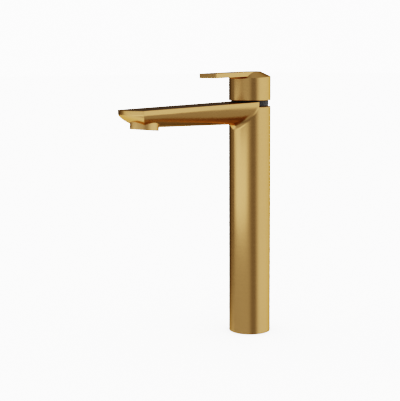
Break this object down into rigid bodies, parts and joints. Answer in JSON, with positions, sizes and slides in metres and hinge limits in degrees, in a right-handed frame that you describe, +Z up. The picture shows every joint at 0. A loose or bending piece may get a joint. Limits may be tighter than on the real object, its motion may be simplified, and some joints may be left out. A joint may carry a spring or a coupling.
{
  "type": "basin mixer faucet",
  "caption": "Tall single-lever basin mixer: round column, flat-topped spout with aerator, flat lever on a round cap, ceramic-disc cartridge inside.",
  "frame": {"origin": "on the column's axis, in the plane of the deck that the foot stands on", "axes": "+Z up along the column, +X the way the spout and the closed lever point, +Y to the side"},
  "size_m": [0.1983, 0.048, 0.3022],
  "materials": {
    "brushed_gold": "brushed gold, satin",
    "raw_brass": "turned, unplated",
    "aerator_metal": "satin gold",
    "black_plastic": "moulded, satin",
    "cartridge_plastic": "moulded acetal",
    "aerator_plastic": "moulded",
    "ceramic": "lapped alumina",
    "steel": "stainless",
    "rubber": "EPDM"
  },
  "bodies": {
    "faucet_body": {"spout_body": "brushed_gold", "foot_insert": "raw_brass", "foot_seal": "rubber", "valve_block": "raw_brass", "block_seal": "rubber", "lock_ring": "raw_brass", "port_seals": "rubber", "cartridge_base": "cartridge_plastic", "fixed_disc": "ceramic", "cartridge_casing": "cartridge_plastic", "casing_seal": "rubber", "retaining_nut": "raw_brass", "dome_collar": "black_plastic", "aerator_ring": "aerator_metal", "aerator_insert": "aerator_plastic", "aerator_screen": "steel", "aerator_washer": "rubber"},
    "turret": {"turret": "cartridge_plastic", "turret_seal": "rubber", "pivot_pin": "steel"},
    "disc": {"moving_disc": "ceramic", "disc_carrier": "cartridge_plastic"},
    "lever": {"handle": "brushed_gold", "lever_stem": "steel", "handle_screw": "steel", "screw_plug": "brushed_gold"}
  },
  "joints": [
    {"name": "temperature_turn", "type": "hinge", "parent": "faucet_body", "child": "turret", "pos_m": [0, 0, 0.266], "axis": [0, 0, 1], "range_deg": [-25, 25]},
    {"name": "lever_lift", "type": "hinge", "parent": "turret", "child": "lever", "pos_m": [0, 0, 0.266], "axis": [0, -1, 0], "range_deg": [0, 14]},
    {"name": "disc_slide", "type": "slide", "parent": "turret", "child": "disc", "axis": [1, 0, 0], "range_m": [0, 0.0045]}
  ],
  "couplings": [
    {"joint": "disc_slide", "follows": "lever_lift", "m_per_rad": 0.018}
  ]
}
